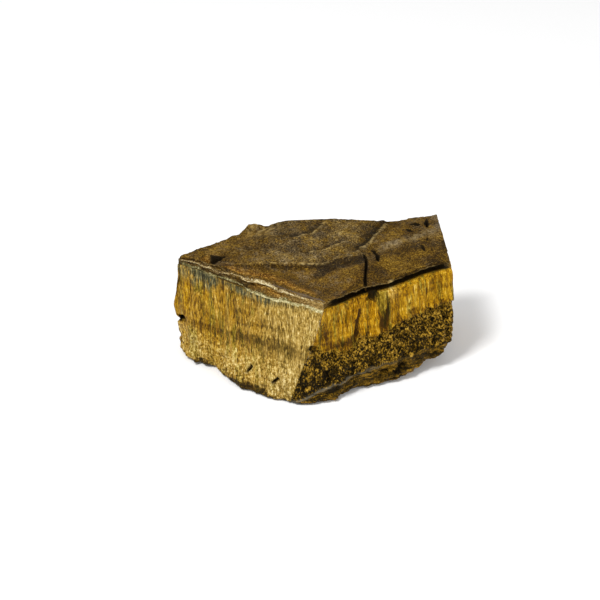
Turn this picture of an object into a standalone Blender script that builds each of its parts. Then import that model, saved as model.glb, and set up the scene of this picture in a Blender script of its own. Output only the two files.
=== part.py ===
"""A rough chunk of tiger's eye: a seam of golden fibres under a brown ironstone crust.

The chunk is one solid. A cube, cut into a grid, is wrapped around it: the cube's four
upright edges become the stone's left, front, right and back corners, its sides become the
broken faces, and its top becomes the crust. Lengths are in millimetres, and the mesh is
scaled to metres at the end. +Z is up, the stone rests on z = 0, and its front corner
points to -Y.
"""
from collections import namedtuple

import bmesh
import bpy
import numpy as np
from mathutils import Matrix, Vector, noise

MM = 0.001
COLLECTION = "rough_tigers_eye_stone"
NAME = "rough_tigers_eye"

# Driving dimensions, in millimetres.
SEAM_TOP = 34.5          # height of the fibre seam's upper edge, where the crust begins
SHELF_RISE = 0.15        # the crevice's floor above the seam's edge
GAP_HEIGHT = 1.7         # the crevice's roof above the seam's edge
LIP_RISE = 2.0           # the crust's lower lip above the seam's edge
RIM_BEVEL = 0.5          # from the lip back to the crust's upper rim
PLATEAU = 42.3           # height of the crust's flat, before its grain
UNDERCUT = 7.5           # how far the underside draws in before it touches the ground
PLAN_MIDDLE = Vector((-0.3, -0.64, 0.0))   # becomes the origin when the stone is done

# The rings that one upright section passes through, from the ground to the crust's rim,
# and the grid rows between each ring and the next.
GROUND, FOOT, SILL, BELLY, SEAM, SHELF, ROOF, LIP, RIM = range(9)
ROWS = (2, 2, 4, 4, 1, 1, 1, 1)
CELLS_U = 34             # grid cells along the left front face and the back
CELLS_V = 28             # grid cells along the right front face and the back left

# One station is one upright section. seam is the plan of the seam's upper edge; foot is
# where the side turns under; sill and belly are (height, bulge) of two points between
# them; inset is how far the crust's lip stands back from the seam's edge, and gap is how
# deep the crevice under the crust runs.
Station = namedtuple("Station", "seam foot sill belly inset gap")

LEFT = Station((-45.0, 0.6), (-45.4, 2.7, 1.5), (6.5, 0.2), (18.5, 2.1), 0.3, 0.3)
FRONT = Station((2.7, -30.1), (-8.0, -31.0, 0.8), (6.0, 0.0), (21.0, 0.9), 1.0, 0.6)
RIGHT = Station((45.3, -2.1), (45.3, -5.4, 8.0), (11.5, 1.0), (20.0, 1.0), 0.8, 2.6)
BACK = Station((-14.5, 20.6), (-16.0, 24.5, 1.5), (8.0, 1.4), (21.0, 2.4), 1.6, 0.4)

LEFT_FRONT_FACE = [
    LEFT,
    Station((-38.8, -2.8), (-40.4, -6.7, 1.1), (6.0, -0.6), (19.0, 0.3), 1.0, 0.3),
    Station((-32.3, -8.5), (-33.0, -9.0, 1.0), (6.0, 0.8), (19.0, 0.5), 2.0, 0.3),
    Station((-27.5, -12.3), (-29.1, -15.7, 0.9), (7.0, -0.2), (18.0, -0.2), 2.0, 0.5),
    Station((-22.3, -16.4), (-24.2, -22.2, 0.8), (6.0, -0.9), (18.0, -0.5), 2.1, 1.2),
    Station((-12.6, -23.5), (-16.5, -26.8, 0.8), (6.0, 0.1), (18.0, -0.3), 2.2, 1.0),
    Station((-4.6, -27.0), (-11.6, -29.0, 0.8), (6.0, -0.2), (19.0, 0.0), 1.7, 0.5),
]
RIGHT_FRONT_FACE = [
    FRONT,
    Station((6.0, -27.6), (-3.6, -32.5, 0.8), (3.2, 0.3), (17.5, -1.0), 0.9, 1.5),
    Station((9.8, -25.1), (6.5, -29.6, 0.8), (5.0, 0.2), (16.5, -1.0), 0.9, 3.2),
    Station((15.3, -20.6), (12.2, -23.8, 1.0), (6.3, 0.9), (16.5, 0.2), 1.0, 4.6),
    Station((23.1, -17.4), (23.5, -19.1, 1.0), (7.6, 0.5), (18.0, 0.3), 1.2, 5.0),
    Station((29.6, -12.5), (29.8, -17.0, 1.6), (8.0, 0.1), (19.0, -0.2), 1.0, 4.6),
    Station((35.9, -7.5), (36.6, -11.4, 3.2), (8.4, 0.9), (20.0, 0.3), 1.0, 4.2),
    Station((41.2, -4.4), (42.4, -8.0, 5.5), (9.4, 0.9), (20.0, 0.6), 1.0, 3.6),
]
BACK_FACE = [
    RIGHT,
    Station((45.0, 6.0), (44.0, 4.0, 5.0), (10.0, 0.5), (21.0, 0.2), 0.7, 1.0),
    Station((43.9, 15.0), (41.0, 16.0, 2.5), (9.0, 1.0), (22.0, 0.8), 0.8, 0.4),
    Station((43.2, 26.6), (39.0, 26.5, 1.5), (9.0, 1.2), (22.0, 1.2), 1.0, 0.3),
    Station((36.0, 24.2), (31.0, 29.5, 1.2), (8.0, 1.2), (20.0, 1.0), 1.6, 1.6),
    Station((22.0, 21.4), (20.0, 27.5, 1.0), (8.0, 0.6), (18.0, 1.4), 1.8, 2.2),
    Station((8.0, 22.8), (9.0, 30.5, 1.0), (9.0, 1.6), (20.0, 0.6), 1.8, 0.8),
    Station((-3.0, 21.4), (-4.0, 27.0, 1.2), (8.0, 0.8), (21.0, 1.6), 1.6, 0.4),
]
BACK_LEFT_FACE = [
    BACK,
    Station((-22.8, 18.8), (-25.5, 20.5, 2.0), (8.0, 1.0), (20.0, 1.2), 1.6, 1.4),
    Station((-26.6, 13.0), (-30.0, 17.0, 2.0), (8.0, 0.4), (20.0, 0.8), 1.6, 0.9),
    Station((-31.0, 9.8), (-34.5, 13.0, 2.0), (8.0, 0.5), (19.0, 1.6), 1.4, 0.6),
    Station((-38.5, 6.6), (-42.0, 8.6, 1.8), (8.0, 0.2), (19.0, 0.8), 1.2, 0.4),
]
FACES = [LEFT_FRONT_FACE, RIGHT_FRONT_FACE, BACK_FACE, BACK_LEFT_FACE]

# The crust. Falls are millimetres down for each millimetre past a line.
FALL_LEFT, LEFT_OF_X = 0.116, -8.0
FALL_BACK, BEHIND_Y = 0.12, 21.0
FALL_RIGHT, RIGHT_OF_X = 0.05, 30.0
FALL_FRONT, BEFORE_Y = 0.075, 18.0
FRONT_CORNER_HEIGHT = 36.6     # where the two front slopes of the crust meet
LEFT_SLOPE = (0.07, 0.17)      # rise towards +X and +Y
RIGHT_SLOPE = 0.25             # rise away from the right front face
# The step that crosses the crust: its y over its x.
RIDGE_X = (-32.4, -24.1, -16.9, -12.1, -7.2, -2.3, 2.9, 5.5, 8.2, 11.1, 14.1, 16.1, 17.4, 19.8)
RIDGE_Y = (-5.9, -7.4, -8.7, -7.7, -7.4, -7.9, -7.7, -5.5, -3.7, -3.3, -2.5, -0.9, -3.3, -8.3)
STEP_ENDS = ((16.5, 2.0), (24.5, 19.5))      # a lower step to the right of the flat
STEP_DROP, STEP_REACH = 0.9, 9.0
LUMP_ENDS = ((-12.5, 22.0), (-26.0, 9.5))    # the low knob at the back left
LUMP_DROP = 1.3

# Relief of the surface: (height, size of its features).
FLUTES = (0.75, 3.2)           # upright fibre bundles on the seam
SWELL = (0.5, 15.0)            # slow waves on every side
HACKLES = (1.9, 2.8)           # splintery break low on the right front face
SPLINTERS = (1.0, 2.8)         # chips along the foot
HIDDEN_SWELL, HIDDEN_HACKLES = 1.3, 1.0
CRUST_EDGE = 0.5
CRUST_GRAIN = (0.45, 4.5)
CRUST_SWELL = (0.5, 14.0)
HOLLOWS = (1.6, 11.0)          # dents in the underside
HOLLOW_BIAS = -0.5

# Pits broken out of the crust: plan, size (long, wide, deep), turn in degrees about z,
# and number of sides.
PITS = [
    ((-34.3, -2.5), (10.0, 8.6, 3.6), -15.0, 3),     # three-cornered pocket
    ((20.4, -2.0), (1.9, 7.6, 2.4), 11.0, 4),        # curved gouge beside the crack
    ((38.2, 18.1), (1.9, 5.6, 2.6), 5.0, 4),
    ((34.3, 16.7), (3.2, 1.7, 1.5), 12.0, 4),
    ((36.1, 3.5), (1.3, 2.8, 1.4), 14.0, 4),
    ((-15.5, -20.4), (13.0, 2.6, 2.6), -34.0, 4),    # cavity under the pale rim
]
# Clefts cut into the sides: middle, size, turn about z and lean about y in degrees.
CLEFTS = [
    ((17.1, -13.2, 40.2), (0.9, 15.6, 5.4), 3.0, 0.0),     # crack down the right slope
    ((19.6, -19.5, 32.8), (3.0, 3.0, 2.4), 33.0, 20.0),    # notch under the crevice
    ((-44.6, -2.6, 15.6), (3.6, 4.0, 1.3), -33.0, -12.0),  # notch beside the left edge
    ((28.9, -18.2, 7.2), (3.6, 3.2, 1.0), 33.0, -50.0),    # slot below the sill
    ((5.3, -28.9, 9.6), (0.8, 2.8, 4.4), 33.0, 4.0),       # slot in the hackly break
    ((-23.2, -19.6, 6.4), (0.9, 2.6, 3.6), -33.0, 30.0),   # cleft low on the left
]


def smooth_step(low, high, value):
    """0 at low, 1 at high, level beyond them, and a smooth rise between."""
    share = np.clip((value - low) / (high - low), 0.0, 1.0)
    return share * share * (3.0 - 2.0 * share)


def lumps(points, size, seed):
    """Seeded noise at each point, about -1 to 1, with features of the given size."""
    offset = Vector((seed * 7.31, seed * 3.17, seed * 5.53))
    return np.array([noise.fractal(Vector(p) + offset, 1.0, 2.0, 2) for p in points / size])


def past_line(x, y, ends):
    """Distance to the right of a line between two plan points, and the share along it."""
    (x0, y0), (x1, y1) = ends
    length = np.hypot(x1 - x0, y1 - y0)
    along_x, along_y = (x1 - x0) / length, (y1 - y0) / length
    past = (x - x0) * along_y - (y - y0) * along_x
    return past, ((x - x0) * along_x + (y - y0) * along_y) / length


def crust_height(x, y):
    """Height of the crust over a plan point: a flat, two front slopes and three steps."""
    flat = PLATEAU - FALL_LEFT * np.maximum(0.0, LEFT_OF_X - x)
    flat = flat - FALL_BACK * np.maximum(0.0, y - BEHIND_Y)
    flat = flat - FALL_RIGHT * np.maximum(0.0, x - RIGHT_OF_X)
    flat = flat - FALL_FRONT * np.maximum(0.0, BEFORE_Y - y)
    corner_x, corner_y = FRONT.seam
    left_slope = (FRONT_CORNER_HEIGHT + LEFT_SLOPE[0] * (x - corner_x)
                  + LEFT_SLOPE[1] * (y - corner_y - 1.0))
    outside, _ = past_line(x, y, (FRONT.seam, RIGHT.seam))
    right_slope = FRONT_CORNER_HEIGHT - RIGHT_SLOPE * (outside + 1.0)

    before_ridge = np.interp(x, RIDGE_X, RIDGE_Y) - y
    in_front = smooth_step(-0.3, 0.7, before_ridge) * smooth_step(-38.0, -26.0, x)
    height = flat + in_front * (np.minimum(left_slope, flat) - flat)

    past_step, along = past_line(x, y, STEP_ENDS)
    beside = smooth_step(-0.5, 0.9, past_step + 0.6 * np.sin(y * 0.7))
    beside = beside * smooth_step(-0.5, 0.0, along) * smooth_step(STEP_REACH, 1.0, past_step)
    height = height - STEP_DROP * beside

    past_lump, along = past_line(x, y, LUMP_ENDS)
    height = height - LUMP_DROP * smooth_step(0.7, -0.7, past_lump) * smooth_step(1.3, 1.0, along)
    return np.minimum(height, right_slope)


def outward_normals(stations):
    """Unit plan vectors that point out of the closed row of stations."""
    plan = np.array([station.seam for station in stations])
    along = np.roll(plan, -1, axis=0) - np.roll(plan, 1, axis=0)
    normals = np.stack([along[:, 1], -along[:, 0]], axis=1)
    return normals / np.linalg.norm(normals, axis=1, keepdims=True)


def section(station, out):
    """The nine ring points of one upright section."""
    seam = np.array([*station.seam, SEAM_TOP])
    foot = np.array(station.foot)
    out = np.array([*out, 0.0])
    up = np.array([0.0, 0.0, 1.0])

    def between(height, bulge):
        share = (height - foot[2]) / (seam[2] - foot[2])
        return foot + share * (seam - foot) + bulge * out

    ground = (foot - out * (UNDERCUT + foot[2])) * (1.0, 1.0, 0.0)
    shelf = seam - station.gap * out + SHELF_RISE * up
    roof = seam - max(station.gap, 0.5 * station.inset) * out + GAP_HEIGHT * up
    lip = seam - station.inset * out + LIP_RISE * up
    rim = seam - (station.inset + RIM_BEVEL) * out
    rim[2] = crust_height(rim[0], rim[1])
    return np.array([ground, foot, between(*station.sill), between(*station.belly),
                     seam, shelf, roof, lip, rim])


def face_tables():
    """For each face: the share along it, and the section, of each of its stations."""
    ring = [station for face in FACES for station in face]
    normals = outward_normals(ring)
    sections = np.array([section(s, n) for s, n in zip(ring, normals)])
    closed = np.concatenate([sections, sections[:1]])
    tables = []
    first = 0
    for face in FACES:
        part = closed[first:first + len(face) + 1]
        steps = np.linalg.norm(np.diff(part[:, SEAM, :2], axis=0), axis=1)
        shares = np.concatenate([[0.0], np.cumsum(steps)]) / steps.sum()
        tables.append((shares, part))
        first += len(face)
    return tables


def read_face(table, share, level):
    """Points at a share (0-1) along a face, at a level that may lie between two rings."""
    shares, sections = table
    below = np.minimum(np.floor(level).astype(int), RIM - 1)
    rest = (level - below)[:, None]
    rings = np.array([[np.interp(share, shares, sections[:, ring, axis]) for axis in range(3)]
                      for ring in range(RIM + 1)])
    each = np.arange(len(share))
    return rings[below, :, each] * (1.0 - rest) + rings[below + 1, :, each] * rest


def cap_points(tables, u, v, ring):
    """Plan points that fill one ring, blended from its four sides."""
    level = np.full(len(u), float(ring))
    near = read_face(tables[0], u, level)
    right = read_face(tables[1], v, level)
    far = read_face(tables[2], 1.0 - u, level)
    left = read_face(tables[3], 1.0 - v, level)
    corners = [table[1][0, ring] for table in tables]
    u, v = u[:, None], v[:, None]
    flat = ((1 - u) * (1 - v) * corners[0] + u * (1 - v) * corners[1]
            + u * v * corners[2] + (1 - u) * v * corners[3])
    return (1 - v) * near + v * far + (1 - u) * left + u * right - flat


def wrapped_grid():
    """A unit cube cut into a grid of cells."""
    mesh = bmesh.new()
    bmesh.ops.create_cube(mesh, size=1.0, matrix=Matrix.Translation((0.5, 0.5, 0.5)))
    for axis, cells in enumerate((CELLS_U, CELLS_V, sum(ROWS))):
        whole_edges = [edge for edge in mesh.edges
                       if abs(edge.verts[0].co[axis] - edge.verts[1].co[axis]) > 0.5]
        bmesh.ops.subdivide_edges(mesh, edges=whole_edges, cuts=cells - 1)
    return mesh


def levels_of_rows(share):
    """Turn an even share of the cube's height into a level between the rings."""
    rows = np.concatenate([[0], np.cumsum(ROWS)])
    return np.interp(share * rows[-1], rows, np.arange(len(rows)))


def roughen_side(points, level, out):
    """Relief of the broken faces: fibre bundles, hackles, chips and the crust's edge."""
    x, y, z = points.T
    columns = np.stack([x + 0.10 * z, y, 0.08 * z], axis=1)
    flutes = lumps(columns, FLUTES[1], seed=1)
    swell = lumps(points, SWELL[1], seed=2)
    hackles = lumps(points, HACKLES[1], seed=3)
    above_ground = smooth_step(GROUND + 0.2, FOOT, level)
    on_seam = smooth_step(FOOT - 0.2, FOOT + 0.6, level) * smooth_step(SEAM, SEAM - 0.3, level)
    on_right_front = smooth_step(-0.4, 3.6, x) * smooth_step(6.0, -2.0, y)
    broken = smooth_step(BELLY + 0.15, BELLY - 0.25, level) * above_ground * on_right_front
    chipped = smooth_step(SILL + 0.6, FOOT + 0.2, level) * above_ground
    hidden = smooth_step(8.0, 16.0, y + 0.15 * x)
    on_crust = smooth_step(ROOF + 0.6, LIP, level) * smooth_step(RIM, RIM - 0.6, level)
    amount = on_seam * (FLUTES[0] * flutes + SWELL[0] * swell)
    amount += on_seam * hidden * (HIDDEN_SWELL * swell + HIDDEN_HACKLES * hackles)
    amount += (HACKLES[0] * broken + SPLINTERS[0] * chipped + CRUST_EDGE * on_crust) * hackles
    return points + amount[:, None] * out


def place_sides(points, tables, u, v, level, edge):
    """Put the vertices of the cube's sides on the four faces, and roughen them."""
    placed = np.zeros(len(points), dtype=bool)
    sides = [(v < edge, u), (u > 1 - edge, v), (v > 1 - edge, 1 - u), (u < edge, 1 - v)]
    nearby = 0.03
    for table, (on_side, way) in zip(tables, sides):
        on_side = on_side & ~placed
        placed |= on_side
        share, height = way[on_side], level[on_side]
        along = (read_face(table, np.minimum(share + nearby, 1.0), height)
                 - read_face(table, np.maximum(share - nearby, 0.0), height))
        out = np.stack([along[:, 1], -along[:, 0], np.zeros(len(along))], axis=1)
        out /= np.linalg.norm(out, axis=1, keepdims=True)
        points[on_side] = roughen_side(read_face(table, share, height), height, out)
    return placed


def drape_crust(points):
    """Give the crust's plan points their heights and grain."""
    plan = points * (1.0, 1.0, 0.0)
    points[:, 2] = crust_height(points[:, 0], points[:, 1])
    points[:, 2] += CRUST_GRAIN[0] * lumps(plan, CRUST_GRAIN[1], seed=5)
    points[:, 2] += CRUST_SWELL[0] * lumps(plan, CRUST_SWELL[1], seed=6)
    return points


def press_base(points):
    """Leave hollows in the underside, and flatten what reaches the ground."""
    plan = points * (1.0, 1.0, 0.0)
    from_middle = np.hypot(plan[:, 0] / 34.0, plan[:, 1] / 20.0)
    hollows = HOLLOWS[0] * lumps(plan, HOLLOWS[1], seed=8) + HOLLOW_BIAS
    hollows += 1.2 * smooth_step(0.7, 1.2, from_middle)
    points[:, 2] = np.maximum(0.0, hollows)
    return points


def shape_stone(mesh):
    """Move the grid's vertices onto the stone."""
    tables = face_tables()
    grid = np.array([vertex.co for vertex in mesh.verts])
    u, v, share = grid.T
    edge = 1e-4
    points = np.zeros_like(grid)
    placed = place_sides(points, tables, u, v, levels_of_rows(share), edge)
    on_base, on_top = share < edge, share > 1 - edge
    for ring, on_cap in ((GROUND, on_base), (RIM, on_top)):
        inner = on_cap & ~placed
        points[inner] = cap_points(tables, u[inner], v[inner], ring)
    points[on_top] = drape_crust(points[on_top])
    points[on_base] = press_base(points[on_base])
    for vertex, point in zip(mesh.verts, points):
        vertex.co = point


def stone_material():
    """Golden-brown broken stone."""
    material = bpy.data.materials.new("tigers_eye")
    material.use_nodes = True
    shader = material.node_tree.nodes["Principled BSDF"]
    shader.inputs["Base Color"].default_value = (0.36, 0.21, 0.05, 1.0)
    shader.inputs["Roughness"].default_value = 0.55
    shader.inputs["Metallic"].default_value = 0.0
    return material


def object_from(mesh, name, place, collection):
    """An object of the mesh, moved in millimetres and scaled to metres."""
    data = bpy.data.meshes.new(name)
    mesh.to_mesh(data)
    mesh.free()
    data.transform(Matrix.Scale(MM, 4) @ Matrix.Translation(place - PLAN_MIDDLE))
    made = bpy.data.objects.new(name, data)
    collection.objects.link(made)
    return made


def pit_cutter(collection, name, pit):
    """A downward cone with few sides, as wide as the pit where it meets the crust."""
    (x, y), size, turn, sides = pit
    mesh = bmesh.new()
    bmesh.ops.create_cone(mesh, cap_ends=True, segments=sides, radius1=0.3, radius2=0.7,
                          depth=2.0, matrix=Matrix.Rotation(np.radians(90.0), 4, "Z"))
    bmesh.ops.scale(mesh, verts=mesh.verts, vec=size)
    bmesh.ops.rotate(mesh, verts=mesh.verts, matrix=Matrix.Rotation(np.radians(turn), 3, "Z"))
    return object_from(mesh, name, Vector((x, y, crust_height(x, y))), collection)


def cleft_cutter(collection, name, cleft):
    """A thin block, for a crack, a notch or a slot."""
    place, size, turn, lean = cleft
    spin = Matrix.Rotation(np.radians(turn), 3, "Z") @ Matrix.Rotation(np.radians(lean), 3, "Y")
    mesh = bmesh.new()
    bmesh.ops.create_cube(mesh, size=1.0)
    bmesh.ops.scale(mesh, verts=mesh.verts, vec=size)
    bmesh.ops.rotate(mesh, verts=mesh.verts, matrix=spin)
    return object_from(mesh, name, Vector(place), collection)


def cut_away(stone, cutter):
    """Take the cutter's shape out of the stone."""
    cutter.display_type = "WIRE"
    cutter.hide_render = True
    cut = stone.modifiers.new(cutter.name, "BOOLEAN")
    cut.operation = "DIFFERENCE"
    cut.object = cutter


def main():
    for old in list(bpy.data.objects):
        bpy.data.objects.remove(old)
    parts = bpy.data.collections.new(COLLECTION)
    cutters = bpy.data.collections.new("cutters")
    bpy.context.scene.collection.children.link(parts)
    bpy.context.scene.collection.children.link(cutters)
    grid = wrapped_grid()
    shape_stone(grid)
    stone = object_from(grid, NAME, Vector((0.0, 0.0, 0.0)), parts)
    stone.data.materials.append(stone_material())
    for number, pit in enumerate(PITS, start=1):
        cut_away(stone, pit_cutter(cutters, f"pit_{number}", pit))
    for number, cleft in enumerate(CLEFTS, start=1):
        cut_away(stone, cleft_cutter(cutters, f"cleft_{number}", cleft))


main()
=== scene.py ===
"""The looks of the rough tiger's eye stone.

The stone's surface is the same cube, wrapped around the same stations, as in its CAD
solid, but cut far more finely: 90,520 cells, where the solid has 7,318 triangles. That
leaves room for the fibre strands, the splintered steps, the crust's grain and the flaked
layers. Lengths are in millimetres until the mesh is placed. One procedural material covers the stone, led by
masks that are stored on the mesh as attributes. Some of these masks paint shade and
highlights into the colour.
"""
from collections import namedtuple

import bmesh
import bpy
import numpy as np
from mathutils import Matrix, Vector, noise


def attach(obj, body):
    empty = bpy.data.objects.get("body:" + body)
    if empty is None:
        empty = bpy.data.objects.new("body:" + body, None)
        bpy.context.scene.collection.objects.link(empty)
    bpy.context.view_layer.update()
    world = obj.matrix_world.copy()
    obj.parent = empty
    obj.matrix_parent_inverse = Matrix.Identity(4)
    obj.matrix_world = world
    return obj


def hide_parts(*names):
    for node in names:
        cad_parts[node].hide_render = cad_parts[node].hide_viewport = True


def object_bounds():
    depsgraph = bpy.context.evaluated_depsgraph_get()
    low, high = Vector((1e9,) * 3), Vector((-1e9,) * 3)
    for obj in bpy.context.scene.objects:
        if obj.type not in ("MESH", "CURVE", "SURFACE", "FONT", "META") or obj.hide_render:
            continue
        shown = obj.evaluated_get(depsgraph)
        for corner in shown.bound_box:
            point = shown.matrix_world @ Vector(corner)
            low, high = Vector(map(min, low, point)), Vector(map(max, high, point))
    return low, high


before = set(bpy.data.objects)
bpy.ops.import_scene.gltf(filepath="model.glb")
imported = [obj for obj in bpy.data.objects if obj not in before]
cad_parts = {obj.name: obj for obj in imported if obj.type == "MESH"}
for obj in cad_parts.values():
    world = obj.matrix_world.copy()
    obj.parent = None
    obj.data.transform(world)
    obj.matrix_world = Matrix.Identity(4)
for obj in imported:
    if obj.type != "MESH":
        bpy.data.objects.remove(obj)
cad_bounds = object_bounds()

MM = 0.001
NODE = "rough_tigers_eye"

# ---------------- the stone's form
# Heights and widths as in the solid.
SEAM_TOP = 34.5          # height of the fibre seam's upper edge, where the crust begins
SHELF_RISE = 0.15        # the crevice's floor above the seam's edge
GAP_HEIGHT = 1.7         # the crevice's roof above the seam's edge
LIP_RISE = 2.0           # the crust's lower lip above the seam's edge
RIM_BEVEL = 0.5          # from the lip back to the crust's upper rim
PLATEAU = 42.3           # height of the crust's flat, before its grain
UNDERCUT = 7.5           # how far the underside draws in before it touches the ground
PLAN_MIDDLE = Vector((-0.3, -0.64, 0))

# The rings of each section, and the grid laid over them.
GROUND, FOOT, SILL, BELLY, SEAM, SHELF, ROOF, LIP, RIM = range(9)
ROWS = (7, 11, 27, 30, 3, 4, 3, 7)     # grid rows between each ring and the next
CELLS_U = 150            # grid cells along the left front face and the back
CELLS_V = 130            # grid cells along the right front face and the back left
SPREADING_PASSES = 600   # rounds of evening out the underside's points
ON_EDGE = 1e-4           # how near to the cube's face a grid point counts as on it
NEARBY = 0.03            # share of a face over which its direction is read
BOX_MARGIN = 0.7         # where points start to be pressed in from the solid's box
MAP_MARGIN = 0.012       # empty edge of each patch of the map, as a share of the patch
BUMP_DEPTH = 0.0006      # in metres

Station = namedtuple("Station", "seam foot sill belly inset gap")


def stations(*rows):
    """Stations from rows: the seam's x, y; the foot's x, y, z; the sill's and the belly's
    height and bulge; the crust's inset; the crevice's depth."""
    return [Station(row[:2], row[2:5], row[5:7], row[7:9], *row[9:]) for row in rows]


LEFT, FRONT, RIGHT, BACK = stations(
    (-45, 0.6, -45.4, 2.7, 1.5, 6.5, 0.2, 18.5, 2.1, 0.3, 0.3),
    (2.7, -30.1, -8, -31, 0.8, 6, 0, 21, 0.9, 1, 0.6),
    (45.3, -2.1, 45.3, -5.4, 8, 11.5, 1, 20, 1, 0.8, 2.6),
    (-14.5, 20.6, -16, 24.5, 1.5, 8, 1.4, 21, 2.4, 1.6, 0.4))
LEFT_FRONT_FACE = [LEFT] + stations(
    (-38.8, -2.8, -40.4, -6.7, 1.1, 6, -0.6, 19, 0.3, 1, 0.3),
    (-32.3, -8.5, -33, -9, 1, 6, 0.8, 19, 0.5, 2, 0.3),
    (-27.5, -12.3, -29.1, -15.7, 0.9, 7, -0.2, 18, -0.2, 2, 0.5),
    (-22.3, -16.4, -24.2, -22.2, 0.8, 6, -0.9, 18, -0.5, 2.1, 1.2),
    (-12.6, -23.5, -16.5, -26.8, 0.8, 6, 0.1, 18, -0.3, 2.2, 1),
    (-4.6, -27, -11.6, -29, 0.8, 6, -0.2, 19, 0, 1.7, 0.5))
RIGHT_FRONT_FACE = [FRONT] + stations(
    (6, -27.6, -3.6, -32.5, 0.8, 3.2, 0.3, 17.5, -1, 0.9, 1.5),
    (9.8, -25.1, 6.5, -29.6, 0.8, 5, 0.2, 16.5, -1, 0.9, 3.2),
    (15.3, -20.6, 12.2, -23.8, 1, 6.3, 0.9, 16.5, 0.2, 1, 4.6),
    (23.1, -17.4, 23.5, -19.1, 1, 7.6, 0.5, 18, 0.3, 1.2, 5),
    (29.6, -12.5, 29.8, -17, 1.6, 8, 0.1, 19, -0.2, 1, 4.6),
    (35.9, -7.5, 36.6, -11.4, 3.2, 8.4, 0.9, 20, 0.3, 1, 4.2),
    (41.2, -4.4, 42.4, -8, 5.5, 9.4, 0.9, 20, 0.6, 1, 3.6))
BACK_FACE = [RIGHT] + stations(
    (45, 6, 44, 4, 5, 10, 0.5, 21, 0.2, 0.7, 1),
    (43.9, 15, 41, 16, 2.5, 9, 1, 22, 0.8, 0.8, 0.4),
    (43.2, 26.6, 39, 26.5, 1.5, 9, 1.2, 22, 1.2, 1, 0.3),
    (36, 24.2, 31, 29.5, 1.2, 8, 1.2, 20, 1, 1.6, 1.6),
    (22, 21.4, 20, 27.5, 1, 8, 0.6, 18, 1.4, 1.8, 2.2),
    (8, 22.8, 9, 30.5, 1, 9, 1.6, 20, 0.6, 1.8, 0.8),
    (-3, 21.4, -4, 27, 1.2, 8, 0.8, 21, 1.6, 1.6, 0.4))
BACK_LEFT_FACE = [BACK] + stations(
    (-22.8, 18.8, -25.5, 20.5, 2, 8, 1, 20, 1.2, 1.6, 1.4),
    (-26.6, 13, -30, 17, 2, 8, 0.4, 20, 0.8, 1.6, 0.9),
    (-31, 9.8, -34.5, 13, 2, 8, 0.5, 19, 1.6, 1.4, 0.6),
    (-38.5, 6.6, -42, 8.6, 1.8, 8, 0.2, 19, 0.8, 1.2, 0.4))
FACES = [LEFT_FRONT_FACE, RIGHT_FRONT_FACE, BACK_FACE, BACK_LEFT_FACE]

# The crust. Falls are millimetres down for each millimetre past a line.
FALL_LEFT, LEFT_OF_X = 0.116, -8
FALL_BACK, BEHIND_Y = 0.12, 21
FALL_RIGHT, RIGHT_OF_X = 0.05, 30
FALL_FRONT, BEFORE_Y = 0.075, 18
FRONT_CORNER_HEIGHT = 36.6
LEFT_SLOPE = (0.07, 0.17)
RIGHT_SLOPE = 0.25
STEP_ENDS = ((16.5, 2), (24.5, 19.5))
STEP_DROP, STEP_REACH = 0.9, 9
LUMP_ENDS = ((-12.5, 22), (-26, 9.5))
LUMP_DROP = 1.3

# Relief of the surface: (height, size of its features).
FLUTES = (0.75, 3.2)
SWELL = (0.5, 15)
HACKLES = (1.9, 2.8)
SPLINTERS = (1, 2.8)
HIDDEN_SWELL, HIDDEN_HACKLES = 1.3, 1
CRUST_EDGE = 0.5
CRUST_GRAIN = (0.45, 4.5)
CRUST_SWELL = (0.5, 14)
HOLLOWS = (1.6, 11)
HOLLOW_BIAS = -0.5

# Pits of the crust: corners in plan, depth, and the width of the walls.
PITS = [
    (((-37.9, -1.7), (-35.9, 1), (-33.2, -0.6), (-29.2, -1.3), (-32.7, -5.2), (-33.8, -5),
      (-35, -4.3), (-36.4, -3)), 3.8, 0.5),
    (((19, 1.4), (20.1, 1.4), (21.1, -1.1), (21.4, -4.1), (21, -6.1), (20.4, -5.4),
      (20.3, -2), (19.6, -0.1)), 2.6, 0.4),
    (((38.4, 22.1), (38.9, 17.8), (38.2, 15.4), (37.2, 17.2)), 2.8, 0.4),
    (((32.4, 16.6), (34.3, 17.7), (35.6, 17.1), (35.4, 16), (33.9, 16.1)), 1.5, 0.4),
    (((30.9, 13.4), (32.1, 13.9), (33.1, 12.8), (31.9, 12.7)), 0.8, 0.4),
    (((37.8, 8.6), (38.1, 8.1), (37.7, 7.5), (37.4, 8)), 0.8, 0.3),
    (((35.6, 4.8), (36.3, 4.6), (36.8, 2.3), (36.2, 2.1), (35.7, 3.6)), 1.4, 0.4),
]
CRACK = ((16.5, -1.3), (17, -4), (17, -7.7), (16.6, -12.3), (16.4, -15.5), (16.6, -21))
CRACK_WIDTH, CRACK_DEPTH = 0.68, 2.8
# Clefts of the sides: middle; width, depth and height; turn and lean in degrees.
CLEFTS = [
    ((19, -19, 33.9), (3.8, 3.4, 4.6), 33, 24),
    ((-45.2, 0, 13.9), (7, 5, 2.3), -33, -26),
    ((28.5, -17.2, 4.8), (5.6, 3.8, 2), 33, -32),
    ((23.1, -18.6, 4.9), (3, 2.4, 1.6), 33, -10),
    ((21.8, -20.4, 2.6), (2.8, 2.4, 1.6), 33, -20),
    ((4.8, -29.2, 9.3), (1.4, 3, 5.4), 33, 4),
    ((-21.2, -21.8, 7.6), (1.2, 3, 4.6), -33, 30),
    ((-12.4, -26.8, 6.4), (1.1, 2.8, 3.4), -33, 44),
    ((0, -31.2, 20.4), (3, 2.8, 3.8), 0, -20),
]
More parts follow.
